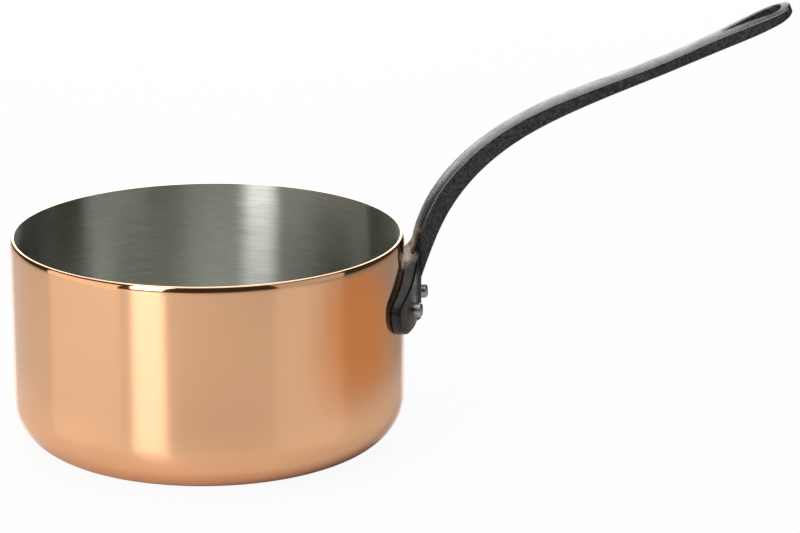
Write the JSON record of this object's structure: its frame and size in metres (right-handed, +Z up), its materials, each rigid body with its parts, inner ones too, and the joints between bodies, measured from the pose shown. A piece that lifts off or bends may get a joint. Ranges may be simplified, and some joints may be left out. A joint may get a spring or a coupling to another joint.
{
  "type": "saucepan",
  "caption": "Straight-sided saucepan with a copper outside, a steel lining and a long arched cast-iron handle riveted to the wall; the handle ends in a pointed hanging slot.",
  "frame": {"origin": "centre of the flat base's underside, which stands on the floor plane", "axes": "+Z up along the pan's axis; +X from the pan's axis towards the handle's free end"},
  "size_m": [0.3987, 0.2, 0.2209],
  "materials": {
    "copper": "polished",
    "lining": "brushed around the axis",
    "iron": "as cast, semi-gloss",
    "rivet": "satin"
  },
  "bodies": {
    "root": {"copper_body": "copper", "steel_lining": "lining", "handle": "iron", "rivet_near": "rivet", "rivet_middle": "rivet", "rivet_far": "rivet"}
  },
  "joints": []
}
